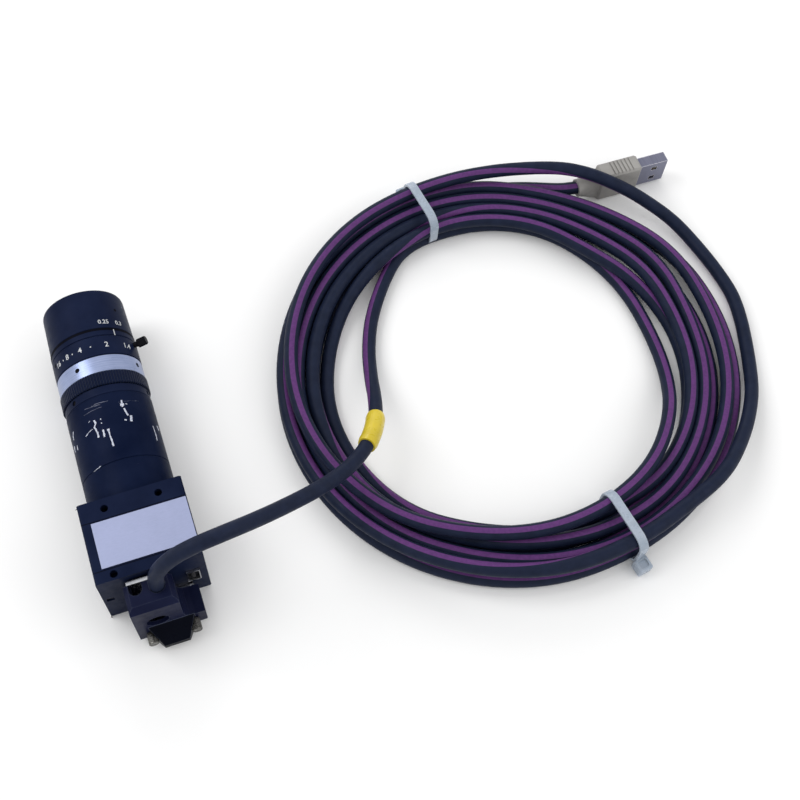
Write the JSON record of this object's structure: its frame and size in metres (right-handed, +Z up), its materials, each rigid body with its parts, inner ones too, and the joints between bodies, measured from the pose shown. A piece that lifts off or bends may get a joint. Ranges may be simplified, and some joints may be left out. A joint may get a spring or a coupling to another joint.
{
  "type": "machine vision camera",
  "caption": "Small cube machine vision camera with extension tubes, a manual-iris lens and a hooded connector on a coiled, tied USB lead.",
  "frame": {"origin": "centre of the housing's flat bottom face", "axes": "+Y along the optical axis out of the lens, +X to the camera's right seen from behind, +Z up"},
  "size_m": [0.258, 0.1766, 0.0534],
  "materials": {
    "black_anodised": "fine bead-blasted black anodising",
    "satin_aluminium": "satin turned aluminium",
    "label_metal": "brushed, clear anodised",
    "steel": "bright nickel-plated steel",
    "black_steel": "black oxide",
    "tin": "tinned sheet steel",
    "brass": "gold-plated contact",
    "board_green": "solder mask",
    "black_plastic": "moulded, fine grain",
    "white_plastic": "moulded",
    "clear_plastic": "clear light guide",
    "ceramic": "ceramic package",
    "glass": "coated optical glass",
    "cord_grey": "matt extruded jacket with one purple stripe",
    "yellow_sleeve": "shrunk on, glossy",
    "tie_nylon": "translucent nylon",
    "grip_grey": "moulded over the shell"
  },
  "bodies": {
    "camera": {"front_plate": "black_anodised", "housing_sleeve": "black_anodised", "back_plate": "black_anodised", "housing_screws": "black_steel", "label_plate": "label_metal", "status_window": "clear_plastic", "sensor_board": "board_green", "interface_board": "board_green", "board_spacers": "brass", "board_link": "black_plastic", "image_sensor": "ceramic", "sensor_glass": "glass", "filter_holder": "black_plastic", "infrared_filter": "glass", "receptacle_shell": "tin", "receptacle_insert": "black_plastic", "jack_posts": "steel", "mini_socket": "tin", "mini_socket_tongue": "black_plastic", "hood": "black_plastic", "hood_plate": "steel", "hood_boss": "black_plastic", "lead_clamp": "steel", "connector_shell": "tin", "connector_insert": "black_plastic", "lower_tube": "black_anodised", "upper_tube": "black_anodised", "lock_ring": "black_anodised", "lock_ring_screws": "black_steel", "adapter_ring": "black_anodised", "lens_mount": "satin_aluminium", "lens_mount_screws": "black_steel", "inner_barrel": "black_anodised", "index_ring": "black_anodised", "rear_glass": "glass", "iris_leaves": "black_steel", "lead": "cord_grey", "marker_sleeve": "yellow_sleeve", "coil": "cord_grey", "upper_tie": "tie_nylon", "lower_tie": "tie_nylon", "plug_grip": "grip_grey", "plug_shell": "tin", "plug_tongue": "white_plastic", "plug_contacts": "brass"},
    "focus": {"focus_ring": "black_anodised"},
    "cell": {"front_cell": "black_anodised", "front_glass": "glass", "glass_retainer": "black_anodised", "middle_glass": "glass"},
    "iris": {"iris_ring": "black_anodised"},
    "lock": {"lock_screw": "black_steel"},
    "left_jack": {"left_jack_screw": "steel"},
    "right_jack": {"right_jack_screw": "steel"}
  },
  "joints": [
    {"name": "focus_turn", "type": "hinge", "parent": "camera", "child": "focus", "pos_m": [0, 0.085, 0.016], "axis": [0, 1, 0], "range_deg": [-117.6, 11.4]},
    {"name": "cell_slide", "type": "slide", "parent": "camera", "child": "cell", "axis": [0, 1, 0], "range_m": [-0.00254, 0.00025]},
    {"name": "iris_turn", "type": "hinge", "parent": "camera", "child": "iris", "pos_m": [0, 0.0697, 0.016], "axis": [0, 1, 0], "range_deg": [-17, 91]},
    {"name": "lock_turn", "type": "hinge", "parent": "iris", "child": "lock", "pos_m": [0.01522, 0.0718, 0.02094], "axis": [0.9511, 0, 0.309], "range_deg": [0, 360]},
    {"name": "left_jack_turn", "type": "hinge", "parent": "camera", "child": "left_jack", "pos_m": [-0.00558, -0.0275, 0.00685], "axis": [0, 1, 0], "continuous": true},
    {"name": "right_jack_turn", "type": "hinge", "parent": "camera", "child": "right_jack", "pos_m": [0.00877, -0.0275, 0.00685], "axis": [0, 1, 0], "continuous": true}
  ],
  "couplings": [
    {"joint": "cell_slide", "follows": "focus_turn", "m_per_rad": 0.001235}
  ]
}
